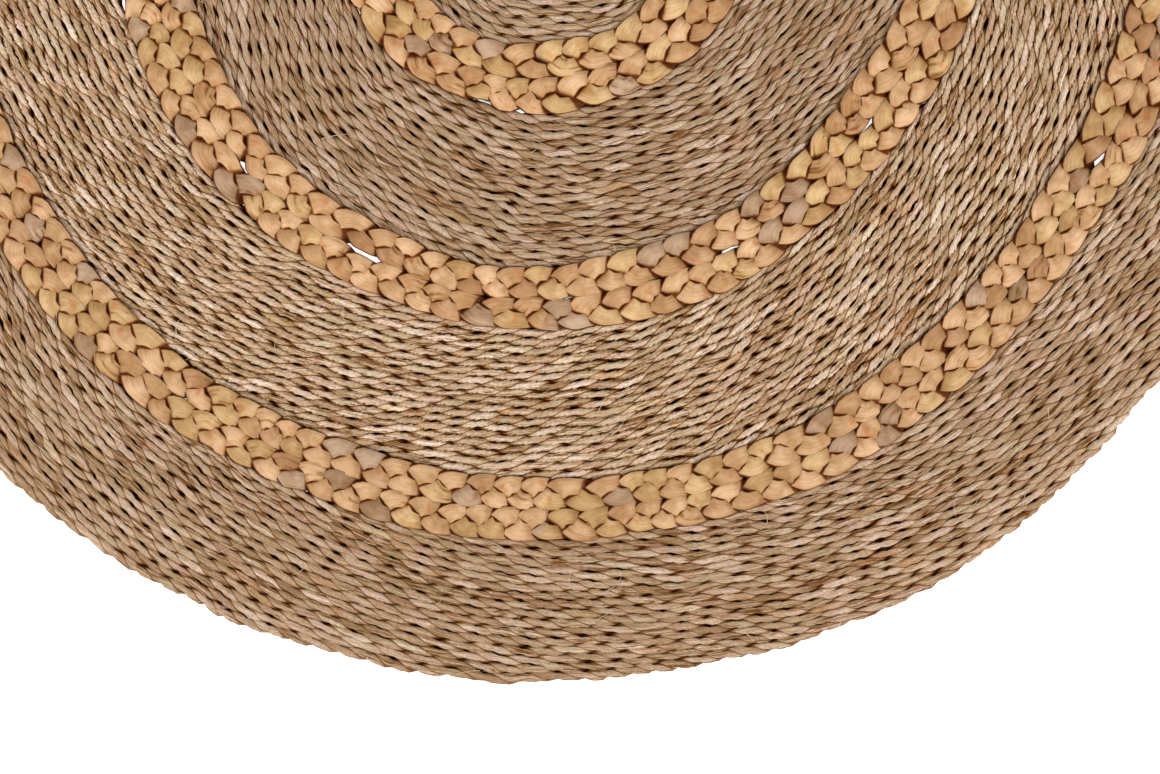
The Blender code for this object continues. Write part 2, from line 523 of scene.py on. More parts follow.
class StrandMesh:
    """Tubes of one section count, gathered into one mesh with a pattern map and a bake map."""

    def __init__(self, sides, girth):
        self.sides = sides
        self.girth = girth
        self.tubes = []
        self.depths = []

    def add(self, rings, along, low, high, closed, creases=(), depth=None):
        """rings: steps x sides x 3. along, depth: steps x sides. low and high: around, for each side."""
        self.tubes.append((rings, along, low, high, closed, creases))
        self.depths.append(np.zeros(rings.shape[:2]) if depth is None else depth)

    def build(self, name):
        """Make the mesh."""
        sides = self.sides
        verts, quads, caps, pattern, spans, sharp_pairs = [], [], [], [], [], []
        base = 0
        for rings, along, low, high, closed, creases in self.tubes:
            steps = len(rings)
            verts.append(rings.reshape(-1, 3))
            spans_here = steps if closed else steps - 1
            row, column = np.meshgrid(np.arange(spans_here), np.arange(sides), indexing="ij")
            after, beside = (row + 1) % steps, (column + 1) % sides
            quads.append(base + np.stack([
                row * sides + column, after * sides + column,
                after * sides + beside, row * sides + beside], axis=-1).reshape(-1, 4))
            along_after = along[after, column]
            if closed:
                ahead = along[1] - along[0]
                along_after = np.where(after == 0, along[-1, column] + ahead[column], along_after)
            corners = face_corners(along[row, column], along_after, low[column], high[column])
            pattern.append(corners.reshape(-1, 4, 2))
            spans.append(spans_here)
            if not closed:
                caps.append(base + np.arange(sides))
                caps.append(base + (steps - 1) * sides + np.arange(sides)[::-1])
            for crease in creases:
                sharp_pairs.append((base, steps, crease))
            base += steps * sides
        verts = np.concatenate(verts)
        quads = np.concatenate(quads)
        pattern = np.concatenate(pattern)
        bake = self.bake_layout(verts, quads, sum(spans), len(caps))
        return self.write(name, verts, quads, caps, pattern, bake, sharp_pairs)

    def bake_layout(self, verts, quads, steps, cap_count):
        """Lay the tubes out as strips, row under row, in the unit square."""
        sides = self.sides
        edge = verts[quads[:, 1]] - verts[quads[:, 0]]
        total = float(np.linalg.norm(edge, axis=1).reshape(-1, sides).mean(axis=1).sum())
        rows = max(int(math.ceil(math.sqrt(total / self.girth))), 1)
        per_row = int(math.ceil(steps / rows))
        rows = int(math.ceil(steps / per_row))
        cell_rows = rows + (1 if cap_count else 0)
        step = np.repeat(np.arange(steps), sides)
        side = np.tile(np.arange(sides), steps)
        left = (step % per_row) / per_row
        right = left + 1.0 / per_row
        floor = (step // per_row + ATLAS_MARGIN) / cell_rows
        tall = (1.0 - 2.0 * ATLAS_MARGIN) / cell_rows / sides
        low, high = floor + tall * side, floor + tall * (side + 1)
        self.cap_cell = (cell_rows - 1, cell_rows)
        return face_corners(left, right, low, high)

    def write(self, name, verts, quads, caps, pattern, bake, sharp_pairs):
        """Hand the arrays to a new mesh."""
        sides = self.sides
        turns = np.arange(sides) / sides * math.tau
        cap_uv = []
        for index in range(len(caps)):
            row, rows = self.cap_cell
            centre_u = (index + 0.5) / len(caps)
            size = CAP_SHARE * min(1.0 / len(caps), 1.0 / rows)
            cap_uv.append(np.stack([
                centre_u + size * np.cos(turns), (row + 0.5) / rows + size * np.sin(turns)], -1))
        loops = np.concatenate([quads.reshape(-1)] + [cap.reshape(-1) for cap in caps])
        sizes = np.concatenate([np.full(len(quads), 4), np.full(len(caps), sides)]).astype(int)
        starts = np.concatenate([[0], np.cumsum(sizes)[:-1]])
        mesh = bpy.data.meshes.new(name)
        mesh.vertices.add(len(verts))
        mesh.vertices.foreach_set("co", verts.astype(np.float32).reshape(-1))
        mesh.loops.add(len(loops))
        mesh.loops.foreach_set("vertex_index", loops.astype(np.int32))
        mesh.polygons.add(len(sizes))
        mesh.polygons.foreach_set("loop_start", starts.astype(np.int32))
        mesh.update(calc_edges=True)
        for layer, uv in ((PATTERN_MAP, pattern), (BAKE_MAP, bake)):
            tail = [np.zeros((sides, 2)) if layer == PATTERN_MAP else cap for cap in cap_uv]
            data = np.concatenate([uv.reshape(-1, 2)] + tail)
            mesh.uv_layers.new(name=layer).data.foreach_set("uv", data.astype(np.float32).reshape(-1))
        depth = np.concatenate([rows.reshape(-1) for rows in self.depths]).astype(np.float32)
        mesh.attributes.new(DEPTH_ATTRIBUTE, "FLOAT", "POINT").data.foreach_set("value", depth)
        mesh.shade_smooth()
        if sharp_pairs:
            self.mark_creases(mesh, sharp_pairs)
        return mesh

    def mark_creases(self, mesh, sharp_pairs):
        """Keep the shading of the two plies apart along their crease."""
        pairs = np.empty(len(mesh.edges) * 2, np.int32)
        mesh.edges.foreach_get("vertices", pairs)
        pairs = pairs.reshape(-1, 2)
        sharp = np.zeros(len(pairs), bool)
        for base, steps, crease in sharp_pairs:
            inside = (pairs >= base).all(axis=1) & (pairs < base + steps * self.sides).all(axis=1)
            sharp |= inside & ((pairs - base) % self.sides == crease).all(axis=1)
        attribute = mesh.attributes.new("sharp_edge", "BOOLEAN", "EDGE")
        attribute.data.foreach_set("value", sharp)


def rope_route(inside, outside, rows):
    """Small steps along a coil's rope: angle, radius, local row pitch and distance."""
    is_middle = inside == "middle"
    first = SPIRAL_START if is_middle else -LEAD_IN_SHARE * STEP_OVER_SHARE
    turns = np.linspace(first, rows - CUT_OFF_SHARE * STEP_OVER_SHARE, rows * DENSE_STEPS_PER_TURN + 1)
    row = np.clip(np.floor(turns), 0, rows - 1)
    part = turns - row
    step_over = smooth_step((part - (1.0 - STEP_OVER_SHARE)) / STEP_OVER_SHARE)
    shift = np.where(is_middle & (row < SPIRAL_ROWS), part, step_over)
    shift[row == rows - 1] = 0.0
    share = (row + 0.5 + shift) / rows
    angle = ROPE_START_ANGLE + math.tau * turns
    near, far = seam_radius(inside, angle), seam_radius(outside, angle)
    radius = near + (far - near) * share
    pitch = (far - near) / rows
    path = place_round(angle, radius, np.zeros_like(angle))
    length = np.concatenate([[0.0], np.cumsum(np.linalg.norm(np.diff(path, axis=0), axis=1))])
    return angle, radius, pitch, length


def rope_turn(settings, rng, place, tangle):
    """How far a rope has turned at each place along it, always growing."""
    total = place[-1]
    even = math.tau * place / settings.lay
    turn = even + stray(rng, place, SLOW_TWIST, total)
    turn = turn + stray(rng, place, QUICK_TWIST, total, tangle)
    turn = turn + QUICK_TURN * np.sin(2.0 * turn)
    return np.maximum.accumulate(turn)


def tangle_share(angle, radius):
    """From 0 to 1: how tangled the rope is at each place."""
    share = np.zeros_like(angle)
    for degrees, at_radius, reach in TANGLES:
        turn = angle - math.radians(degrees)
        away = np.sqrt(radius ** 2 + at_radius ** 2 - 2.0 * radius * at_radius * np.cos(turn))
        share = np.maximum(share, smooth_step(TANGLE_FULLNESS - TANGLE_FULLNESS * away / reach))
    return share


def parting(angle, radius):
    """How far the rows beside each rope slit are pushed away from it."""
    out = np.zeros_like(angle)
    for degrees, at_radius, wide, long in ROPE_SLITS:
        away = np.abs(turn_from(angle, degrees)) * at_radius
        near = smooth_step(PARTING_FULLNESS - away / (long * PARTING_HALF))
        beside = radius - at_radius
        push = (wide / 2.0 + PARTING_SPARE) * near
        out += np.sign(beside) * push * np.exp(-np.abs(beside) / PARTING_FADE)
    return out


def rope_rings(settings, inside, outside, rows, twist, rng):
    """Sections of one coil's rope, how far each ply has turned, and how far down its sides it is."""
    angle, radius, pitch, length = rope_route(inside, outside, rows)
    turn = rope_turn(settings, rng, length, tangle_share(angle, radius))
    step = math.tau / settings.steps_per_lay
    turns = step * (np.arange(math.ceil(turn[0] / step), math.floor(turn[-1] / step)) + 0.5)
    even = np.interp(turns, turn, length)
    angle, radius, pitch = (np.interp(even, length, values) for values in (angle, radius, pitch))
    total = even[-1]
    tangle = tangle_share(angle, radius)
    radius = radius + hand_sway(angle, radius) + parting(angle, radius)
    radius = radius + stray(rng, even, ROW_STRAY, total, tangle)
    is_last = even > total - math.tau * radius[-1]
    if outside == "rim":
        radius = radius + is_last * stray(rng, even, RIM_LUMP, total)
    height = settings.centre_height + stray(rng, even, ROPE_LIFT, total, tangle)
    path = place_round(angle, radius, height)
    side = directions_across(path, False)[0]
    end = np.minimum(np.arange(len(even)), np.arange(len(even))[::-1]) / END_STEPS
    taper = END_SIZE + (1.0 - END_SIZE) * smooth_step(end)
    squeeze = pitch / settings.pitch
    columns, along = [], []
    for ply in range(PLIES):
        phase = twist * turns + ply * math.pi
        uneven = settings.unevenness * (1.0 + PLY_TANGLING * tangle)
        fat = 1.0 + PLY_REACH_SHARE * uneven * wander(rng, even, PLY_REACH_SPACING, total)
        flat = 1.0 + uneven * wander(rng, even, PLY_BREADTH_SPACING, total)
        deep = 1.0 + CREASE_UNEVENNESS * wander(rng, even, CREASE_SPACING, total)
        reach, breadth = settings.ply_reach * fat * taper, settings.ply_breadth * flat * taper
        aside = np.sin(phase) ** NOTCH_POWER
        for corner, (on_top, at_side) in enumerate(zip(CREASE_ON_TOP, CREASE_ASIDE)):
            out = on_top[0] + (at_side[0] - on_top[0]) * aside
            across = on_top[1] + (at_side[1] - on_top[1]) * aside
            across = across * deep if corner == 0 else across
            columns.append(section_point(phase, out * reach, across * breadth))
        grain = twist * (phase - math.pi / 2.0) / math.tau + ply * GRAINS_APART
        along += [grain] * len(CREASE_ON_TOP)
    flat_points = np.stack(columns, axis=1)
    # How far down the rope's side each point is, which the material turns into painted shade.
    depth = 1.0 - unit(flat_points)[..., 1]
    sideways = flat_points[..., 0] * (1.0 + SPREAD_BELOW * smooth_step(depth - 1.0)) * squeeze[:, None]
    rings = path[:, None, :] + sideways[..., None] * side[:, None, :]
    rings = rings + flat_points[..., 1][..., None] * ROPE_FLATTENING * UP
    rings[..., 2] = np.maximum(rings[..., 2], FLOOR_CLEARANCE)
    # The rim's outer side gets less painted shade.
    if outside == "rim":
        depth = np.where(is_last[:, None] & (sideways > 0.0), np.minimum(depth, RIM_DEPTH), depth)
    return rings, np.stack(along, axis=1), depth


def section_point(phase, out, across):
    """Point of a ply's section, in the rope's own sideways and upwards directions."""
    sideways = out * np.cos(phase) - across * np.sin(phase)
    upwards = out * np.sin(phase) + across * np.cos(phase)
    return np.stack([sideways, upwards], axis=-1)


def slit_width(stem, seam, angle, slits):
    """Width of the slits at one of a plait ring's three seams, at each angle."""
    width = np.zeros_like(angle)
    ring = next(ring for ring in PLAIT_RINGS if ring[0] == stem)
    radius = mean_radius(*ring[1:3])
    for name, at_seam, degrees, wide, long in slits:
        if name != stem or at_seam != seam:
            continue
        away = np.abs(turn_from(angle, degrees)) * radius
        reach = np.clip(1.0 - away / (long * SLIT_HALF), 0.0, 1.0)
        width = np.maximum(width, wide * smooth_step(reach * SLIT_FULLNESS))
    return width


def all_slits(rng):
    """The slits that the photograph shows, and random ones round the rest of the rug."""
    slits = list(SLITS)
    for stem, inside, outside, _ in PLAIT_RINGS:
        radius = mean_radius(inside, outside)
        hidden = 2.0 * (math.pi - SEEN_ANGLE)
        for _ in range(int(radius * hidden * HIDDEN_SLITS_PER_METRE)):
            degrees = math.degrees(SEEN_ANGLE + hidden * rng.uniform())
            seam = int(rng.choice(HIDDEN_SLIT_SEAMS))
            wide, long = rng.uniform(*HIDDEN_SLIT_WIDTHS), rng.uniform(*HIDDEN_SLIT_LENGTHS)
            slits.append((stem, seam, degrees, wide, long))
    return slits


def plait_rings(settings, stem, inside, outside, row, slits, rng):
    """Sections of the three strands of one plait, and each strand's place in the plait."""
    mean = SEAMS[inside][0] + (SEAMS[outside][0] - SEAMS[inside][0]) * (0.25 + 0.5 * row)
    round_length = math.tau * mean
    periods = int(round(round_length / settings.period))
    steps = periods * settings.steps_per_period
    angle = math.tau * np.arange(steps) / steps
    near, far = seam_radius(inside, angle), seam_radius(outside, angle)
    middle = (near + far) / 2.0
    gaps = [slit_width(stem, seam, angle, slits) for seam in range(3)]
    gaps = [gap - PLAIT_PRESS * (1.0 - smooth_step(gap / FREE_WIDTH)) for gap in gaps]
    if row == 0:
        low, high = near + gaps[0], middle - gaps[1] / 2.0
    else:
        low, high = middle + gaps[1] / 2.0, far - gaps[2]
    sway = hand_sway(angle, (near + far) / 2.0)
    centre, half = (low + high) / 2.0 + sway, (high - low) / 2.0
    distance = angle * mean
    stretch = stray(rng, distance, CROSSINGS_TOGETHER, round_length)
    start = rng.uniform(0.0, math.tau)
    strands = []
    for strand in range(PLAIT_STRANDS):
        phase = periods * angle + stretch + start + strand * math.tau / PLAIT_STRANDS
        phase = phase + stray(rng, distance, CROSSINGS_ALONE, round_length)
        turn = np.abs(np.sin(phase)) ** TURN_POWER
        wide = 1.0 + settings.unevenness * wander(rng, distance, STRAND_SIZE_SPACING, round_length)
        deep = 1.0 + settings.unevenness * wander(rng, distance, STRAND_SIZE_SPACING, round_length)
        breadth = wide * (settings.strand_breadth + (settings.edge_breadth - settings.strand_breadth) * turn)
        depth = deep * (settings.strand_depth + (settings.edge_depth - settings.strand_depth) * turn)
        tuck = 1.0 - PLAIT_TUCK * np.clip(-np.sin(2.0 * phase), 0.0, 1.0) ** 2
        breadth = breadth * tuck
        swing = half - settings.edge_breadth + SWING_SPARE
        swing = swing + stray(rng, distance, STRAND_ASIDE, round_length)
        swerve = np.sin(phase) * (1.0 + SWERVE_STRAIGHTNESS * np.cos(phase) ** 2)
        rise = settings.rise * np.sin(2.0 * phase) * (1.0 + CROSSING_PEAK * np.cos(2.0 * phase) ** 2)
        rise = rise + stray(rng, distance, STRAND_LIFT, round_length)
        path = place_round(angle, centre + swing * swerve * tuck, settings.thickness / 2.0 + rise)
        rings = press_flat(strand_rings(path, breadth, depth), centre, half + PLAIT_PRESS)
        strands.append((rings, phase / math.pi + strand * PADS_APART))
    return strands


def press_flat(rings, centre, limit):
    """Flatten what bulges past a plait's two edges, where its neighbours hold it."""
    radius = np.linalg.norm(rings[..., :2], axis=-1)
    away = (radius - centre[:, None]) / limit[:, None]
    free = 1.0 - PLAIT_EDGE_ROUNDING
    beyond = np.maximum(np.abs(away) - free, 0.0)
    pressed = np.minimum(np.abs(away), free) + PLAIT_EDGE_ROUNDING * np.tanh(beyond / PLAIT_EDGE_ROUNDING)
    scale = (centre[:, None] + np.sign(away) * pressed * limit[:, None]) / radius
    rings[..., :2] *= scale[..., None]
    return rings


def strand_rings(path, breadth, depth):
    """Full, slightly squared sections along a closed strand."""
    across, over = directions_across(path, True)
    turns = -math.pi / 2.0 + math.tau * np.arange(PLAIT_SIDES) / PLAIT_SIDES
    wide = np.sign(np.cos(turns)) * np.abs(np.cos(turns)) ** PAD_SQUARENESS_ACROSS
    tall = np.sign(np.sin(turns)) * np.abs(np.sin(turns)) ** PAD_SQUARENESS_UP
    rings = path[:, None, :] + breadth[:, None, None] * wide[None, :, None] * across[:, None, :]
    rings = rings + depth[:, None, None] * tall[None, :, None] * over[:, None, :]
    rings[..., 2] = np.maximum(rings[..., 2], FLOOR_CLEARANCE)
    return rings


def fibre_path(settings, rng, is_hair):
    """Points of a loose fibre or of a hair at the rim, and how far along it each is."""
    angle = rng.uniform(0.0, math.tau)
    bend = rng.normal(0.0, FIBRE_BEND)
    heading = angle + rng.normal(0.0, FIBRE_SPREAD) + (math.pi if rng.uniform() < 0.5 else 0.0)
    if is_hair:
        radius = float(seam_radius("rim", np.array([angle]))[0]) - HAIR_INSET
        length = rng.uniform(*HAIR_LENGTHS) * settings.shortest
        bend *= HAIR_BEND
    else:
        coils = [(SEAMS[inside][0], SEAMS[outside][0]) for _, inside, outside, *_ in COILS]
        areas = np.array([far ** 2 - near ** 2 for near, far in coils])
        near, far = coils[int(rng.choice(len(coils), p=areas / areas.sum()))]
        radius = math.sqrt(rng.uniform(near ** 2, (far - FIBRE_SEAM_GAP) ** 2))
        length = rng.uniform(settings.shortest, settings.longest)
    share = np.linspace(0.0, 1.0, FIBRE_STEPS)
    turn = heading + bend * share
    stride = length / (FIBRE_STEPS - 1)
    x = radius * math.sin(angle) + np.concatenate([[0], np.cumsum(np.cos(turn))[:-1]]) * stride
    y = -radius * math.cos(angle) + np.concatenate([[0], np.cumsum(np.sin(turn))[:-1]]) * stride
    rise = rng.uniform(*FIBRE_RISES)
    z = (HAIR_ROOT if is_hair else FIBRE_ROOT) + rise * np.sin(share * rng.uniform(*FIBRE_RISE_ENDS))
    return np.stack([x, y, z], axis=-1), share


def fibre_rings(settings, path, share, is_hair):
    """Sections along a loose fibre, smaller towards its tip."""
    across, over = directions_across(path, False)
    turns = math.tau * np.arange(FIBRE_SIDES) / FIBRE_SIDES
    thick = settings.thickness / 2.0 * (1.0 - FIBRE_TAPER * share)[:, None, None]
    thick = thick * (HAIR_THICKNESS if is_hair else 1.0)
    wide = np.cos(turns)[None, :, None] * across[:, None, :] * FIBRE_WIDENING
    return path[:, None, :] + thick * (wide + np.sin(turns)[None, :, None] * over[:, None, :])


def feed(tree, node, inputs):
    """Give a node's inputs values or other nodes' sockets."""
    for name, value in inputs.items():
        if isinstance(value, bpy.types.NodeSocket):
            tree.links.new(value, node.inputs[name])
        else:
            node.inputs[name].default_value = value


def add_node(tree, kind, inputs=None, **settings):
    """New shader node, with its settings and its inputs."""
    node = tree.nodes.new(kind)
    for name, value in settings.items():
        setattr(node, name, value)
    feed(tree, node, inputs or {})
    return node


def calculate(tree, operation, *values):
    """Math node."""
    return add_node(tree, "ShaderNodeMath", dict(enumerate(values)), operation=operation).outputs[0]


def blend_colours(tree, kind, share, first, second):
    """Mix of two colours."""
    inputs = {0: share, 6: first, 7: second}
    return add_node(tree, "ShaderNodeMix", inputs, data_type="RGBA", blend_type=kind).outputs[2]


def darkest(tree, first, *others):
    """The darkest of several shades."""
    for other in others:
        first = blend_colours(tree, "DARKEN", 1.0, first, other)
    return first


def ramp(tree, share, stops, interpolation="LINEAR"):
    """Colour ramp from (place, colour) stops."""
    node = add_node(tree, "ShaderNodeValToRGB", {"Fac": share})
    node.color_ramp.interpolation = interpolation
    elements = node.color_ramp.elements
    while len(elements) > 1:
        elements.remove(elements[-1])
    elements[0].position = stops[0][0]
    elements[0].color = stops[0][1]
    for place, colour in stops[1:]:
        elements.new(place).color = colour
    return node.outputs["Color"]


def grey(value):
    """Opaque grey."""
    return (value, value, value, 1.0)


def warm(value):
    """Opaque shade that turns browner as it darkens, as light does among dry fibres."""
    deep = max(1.0 - value / DEEP_FROM, 0.0)
    green, blue = SHADE_WARMTH if value < 1.0 else LIGHT_WARMTH
    green, blue = green + deep * DEEP_WARMTH[0], blue + deep * DEEP_WARMTH[1]
    return (value, value ** green, value ** blue, 1.0)


def solid(colour):
    """Opaque colour."""
    return (colour[0], colour[1], colour[2], 1.0)


def shades(tree, share, *stops):
    """Warm shades from (place, lightness) stops."""
    return ramp(tree, share, [(place, warm(value)) for place, value in stops])


def multiply(tree, colour, shade, amount=1.0):
    """Colour multiplied by a shade."""
    return blend_colours(tree, "MULTIPLY", amount, colour, shade)


def noise(tree, along, around, scale_along, scale_around, detail=2.0):
    """Noise drawn out along a strand."""
    vector = add_node(tree, "ShaderNodeCombineXYZ", {
        "X": calculate(tree, "MULTIPLY", along, scale_along),
        "Y": calculate(tree, "MULTIPLY", around, scale_around)})
    node = add_node(tree, "ShaderNodeTexNoise", {
        "Vector": vector.outputs[0], "Scale": 1.0, "Detail": detail}, noise_dimensions="2D")
    return node.outputs["Fac"]


def strand_coordinates(tree):
    """Distance along a strand, in grains or pads, and around it from 0 to 1."""
    pattern = add_node(tree, "ShaderNodeUVMap", uv_map=PATTERN_MAP)
    parts = add_node(tree, "ShaderNodeSeparateXYZ", {"Vector": pattern.outputs[0]})
    return parts.outputs[0], parts.outputs[1]


def random_at(tree, value, salt):
    """Random number that stays the same over one whole number, and is another with another salt."""
    whole = calculate(tree, "FLOOR", value)
    salted = calculate(tree, "ADD", whole, salt)
    return add_node(tree, "ShaderNodeTexWhiteNoise", {"W": salted}, noise_dimensions="1D").outputs["Value"]


def new_material(name):
    """Material with an empty node tree and its two last nodes."""
    material = bpy.data.materials.new(name)
    material.use_nodes = True
    tree = material.node_tree
    tree.nodes.clear()
    shader = add_node(tree, "ShaderNodeBsdfPrincipled")
    add_node(tree, "ShaderNodeOutputMaterial", {"Surface": shader.outputs[0]})
    return material, tree, shader


def finish_strand(tree, shader, colour, relief, streak, finish):
    """Give a strand's shader its colour, its relief, and a roughness that follows its streaks."""
    strength, distance, dull, smooth, gloss = finish
    bump = add_node(tree, "ShaderNodeBump", {"Height": relief, "Strength": strength, "Distance": distance})
    feed(tree, shader, {
        "Base Color": colour, "Normal": bump.outputs[0], "Specular IOR Level": gloss,
        "Roughness": ramp(tree, streak, [(0.3, grey(dull)), (0.7, grey(smooth))])})


def seagrass_material(name, settings, twist, tint):
    """Dry seagrass blades: a shade for each grain, long streaks, and painted shade in the creases and holes.
    """
    material, tree, shader = new_material(name)
    along, around = strand_coordinates(tree)
    grain = calculate(tree, "ADD", along, 0.5)
    colour = ramp(tree, random_at(tree, grain, 17.0), [
        (0.0, solid(settings.pink)), (0.22, solid(settings.tan)), (0.55, solid(settings.tan)),
        (0.80, solid(settings.green)), (0.96, solid(settings.tan)), (1.0, solid(settings.straw))])
    shade = shades(tree, random_at(tree, grain, 53.0), (0.0, 0.80), (0.5, 1.0), (1.0, 1.14))
    colour = multiply(tree, colour, shade)
    run = noise(tree, along, around, 0.09, 0.0, 1.0)
    colour = multiply(tree, colour, shades(tree, run, (0.30, 0.84), (0.70, 1.10)))
    blot = noise(tree, along, around, 1.1, 2.5, 1.0)
    odd = calculate(tree, "GREATER_THAN", random_at(tree, grain, 91.0), RUSTY_FROM)
    rusty = calculate(tree, "MULTIPLY", odd, ramp(tree, blot, [(0.40, grey(0.0)), (0.60, grey(0.6))]))
    colour = blend_colours(tree, "MIX", rusty, colour, solid(settings.rust))
    lean = calculate(tree, "SUBTRACT", calculate(tree, "FRACT", grain), 0.5)
    blade = calculate(tree, "ADD", around, calculate(tree, "MULTIPLY", lean, twist * BLADE_LEAN))
    streak = noise(tree, along, blade, 1.5, 7.0, 3.0)
    fine = noise(tree, along, blade, 3.0, 22.0, 2.0)
    speck = noise(tree, along, around, 15.0, 20.0, 2.0)
    split = noise(tree, along, blade, 0.7, 5.0, 1.0)
    colour = multiply(tree, colour, shades(tree, streak, (0.28, 0.74), (0.46, 0.98), (0.70, 1.12)))
    colour = multiply(tree, colour, shades(tree, fine, (0.28, 0.72), (0.52, 1.0), (0.74, 1.18)))
    colour = multiply(tree, colour, shades(tree, speck, (0.32, 0.80), (0.68, 1.16)))
    shade = shades(tree, split, (0.450, 1.0), (0.488, 0.42), (0.512, 0.42), (0.550, 1.0))
    colour = multiply(tree, colour, shade, frayed(tree, grain, SPLIT_SHARE))
    # Painted shade in the creases between plies, along the row edges and in the holes.
    colour = multiply(tree, colour, crease_shade(tree, along, around))
    colour = multiply(tree, colour, solid(tint))
    relief = calculate(tree, "ADD", streak, calculate(tree, "MULTIPLY", fine, 0.5))
    finish_strand(tree, shader, colour, relief, streak, ROPE_FINISH)
    return material


def about_zero(tree, pattern, height):
    """Pattern from 0 to 1, drawn out to a height with its middle at 0."""
    return calculate(tree, "MULTIPLY_ADD", pattern, height, -height / 2.0)


def frayed(tree, grain, share):
    """1 on a share of the grains or pads, and 0 on the rest."""
    return calculate(tree, "LESS_THAN", random_at(tree, grain, 137.0), share)


def crease_shade(tree, along, around):
    """Painted shade: dark where the plies meet and where rows meet, and darkest where a crease comes to a
    row's side.
    """
    ragged = about_zero(tree, noise(tree, along, around, 1.3, 2.0, 2.0), CREASE_RAGGEDNESS)
    depth = add_node(tree, "ShaderNodeAttribute", attribute_name=DEPTH_ATTRIBUTE).outputs["Fac"]
    valley = calculate(tree, "MULTIPLY", calculate(tree, "ADD", depth, ragged), 0.5)
    between = shades(tree, valley, (0.15, 1.0), (0.25, 0.80), (0.33, 0.48), (0.42, 0.28), (0.56, 0.15))
    middle = calculate(tree, "ABSOLUTE", calculate(tree, "SUBTRACT", around, 0.5))
    wide = calculate(tree, "MULTIPLY", calculate(tree, "MINIMUM", depth, 1.0), HOLE_WIDENING)
    edge = calculate(tree, "MULTIPLY_ADD", ragged, CREASE_RAGGED_SHARE, calculate(tree, "ADD", middle, wide))
    crease = shades(tree, edge, (0.36, 1.0), (0.44, 0.74), (0.50, 0.44), (0.58, 0.16))
    return darkest(tree, between, crease)


def hyacinth_material(name, settings, lightness):
    """Dry hyacinth stems: a colour for each pad, fibres along it, stains, and painted shade at the pads'
    edges.
    """
    material, tree, shader = new_material(name)
    along, around = strand_coordinates(tree)
    pad = calculate(tree, "ADD", along, 0.25)
    colour = ramp(tree, random_at(tree, pad, 31.0), [
        (0.0, solid(settings.honey)), (0.40, solid(settings.gold)), (0.66, solid(settings.honey)),
        (0.82, solid(settings.grey)), (0.91, solid(settings.red))], "CONSTANT")
    shade = shades(tree, random_at(tree, pad, 71.0), (0.0, 0.80), (0.5, 1.0), (1.0, 1.12))
    colour = multiply(tree, colour, shade)
    cloud = noise(tree, along, around, 3.0, 3.5, 2.0)
    colour = multiply(tree, colour, shades(tree, cloud, (0.32, 0.80), (0.60, 1.08)))
    blot = noise(tree, along, around, 4.1, 5.0, 1.0)
    stain = ramp(tree, blot, [(0.66, grey(1.0)), (0.80, solid(STAIN))])
    colour = multiply(tree, colour, stain)
    streak = noise(tree, along, around, 2.4, 18.0, 3.0)
    fine = noise(tree, along, around, 4.0, 46.0, 2.0)
    colour = multiply(tree, colour, shades(tree, streak, (0.30, 0.96), (0.50, 1.0), (0.70, 1.03)))
    hard = shades(tree, streak, (0.33, 0.60), (0.39, 0.92), (0.70, 1.06))
    colour = multiply(tree, colour, hard, frayed(tree, pad, TORN_SHARE))
    fines = shades(tree, fine, (0.30, 0.84), (0.52, 1.0), (0.75, 1.08))
    colour = multiply(tree, colour, fines, 0.8)
    # Painted shade along the pads' edges and in the crevices between them.
    colour = multiply(tree, colour, pad_shade(tree, pad, around))
    colour = multiply(tree, colour, grey(lightness))
    relief = calculate(tree, "MULTIPLY_ADD", streak, 0.4, calculate(tree, "MULTIPLY", fine, 0.5))
    finish_strand(tree, shader, colour, relief, streak, PLAIT_FINISH)
    return material


def pad_shade(tree, pad, around):
    """Painted shade: dark along a pad's two sides, where it comes up from under one pad, where it goes under
    the next, and in crevices.

    A pad's outer side comes up first and goes under last on the outer half of a plait, and its inner
    side does on the inner half.
    """
    ragged = about_zero(tree, noise(tree, pad, around, 5.0, 5.0, 2.0), PAD_RAGGEDNESS)
    inner_half = calculate(tree, "FLOORED_MODULO", calculate(tree, "FLOOR", pad), 2.0)
    turned = calculate(tree, "MULTIPLY_ADD", inner_half, -2.0, 1.0)
    off_middle = calculate(tree, "SUBTRACT", 0.5, around)
    lead = calculate(tree, "MULTIPLY", off_middle, turned)
    side = calculate(tree, "ADD", calculate(tree, "ABSOLUTE", off_middle), ragged)
    place = calculate(tree, "ADD", calculate(tree, "FRACT", pad), ragged)
    start = calculate(tree, "MULTIPLY_ADD", lead, START_SLANT, place)
    end = calculate(tree, "MULTIPLY_ADD", lead, -END_SLANT, place)
    sides = shades(tree, side, (0.06, 1.0), (0.12, 0.86), (0.14, 0.50), (0.155, 0.2))
    starts = shades(tree, start, (0.27, 0.2), (0.288, 0.5), (0.31, 0.86), (0.4, 1.0))
    ends = shades(tree, end, (0.60, 1.0), (0.72, 0.84), (0.745, 0.50), (0.77, 0.2))
    contact = add_node(
        tree, "ShaderNodeAmbientOcclusion", {"Distance": CONTACT_REACH}, samples=8, only_local=True)
    crevices = shades(tree, contact.outputs["AO"], (0.42, 0.15), (0.62, 0.40), (0.78, 0.80), (0.92, 1.0))
    return darkest(tree, starts, ends, sides, crevices)


def fibre_material(name):
    """Pale loose fibre."""
    material, tree, shader = new_material(name)
    along, around = strand_coordinates(tree)
    colour = ramp(tree, random_at(tree, along, 5.0), [
        (place, solid(shade)) for place, shade in zip((0.0, 0.6, 1.0), FIBRE_COLOURS)])
    streak = noise(tree, along, around, 9.0, 3.0)
    shade = ramp(tree, streak, [(0.3, grey(0.8)), (0.7, grey(1.1))])
    feed(tree, shader, {"Base Color": multiply(tree, colour, shade), "Roughness": FIBRE_ROUGHNESS})
    return material


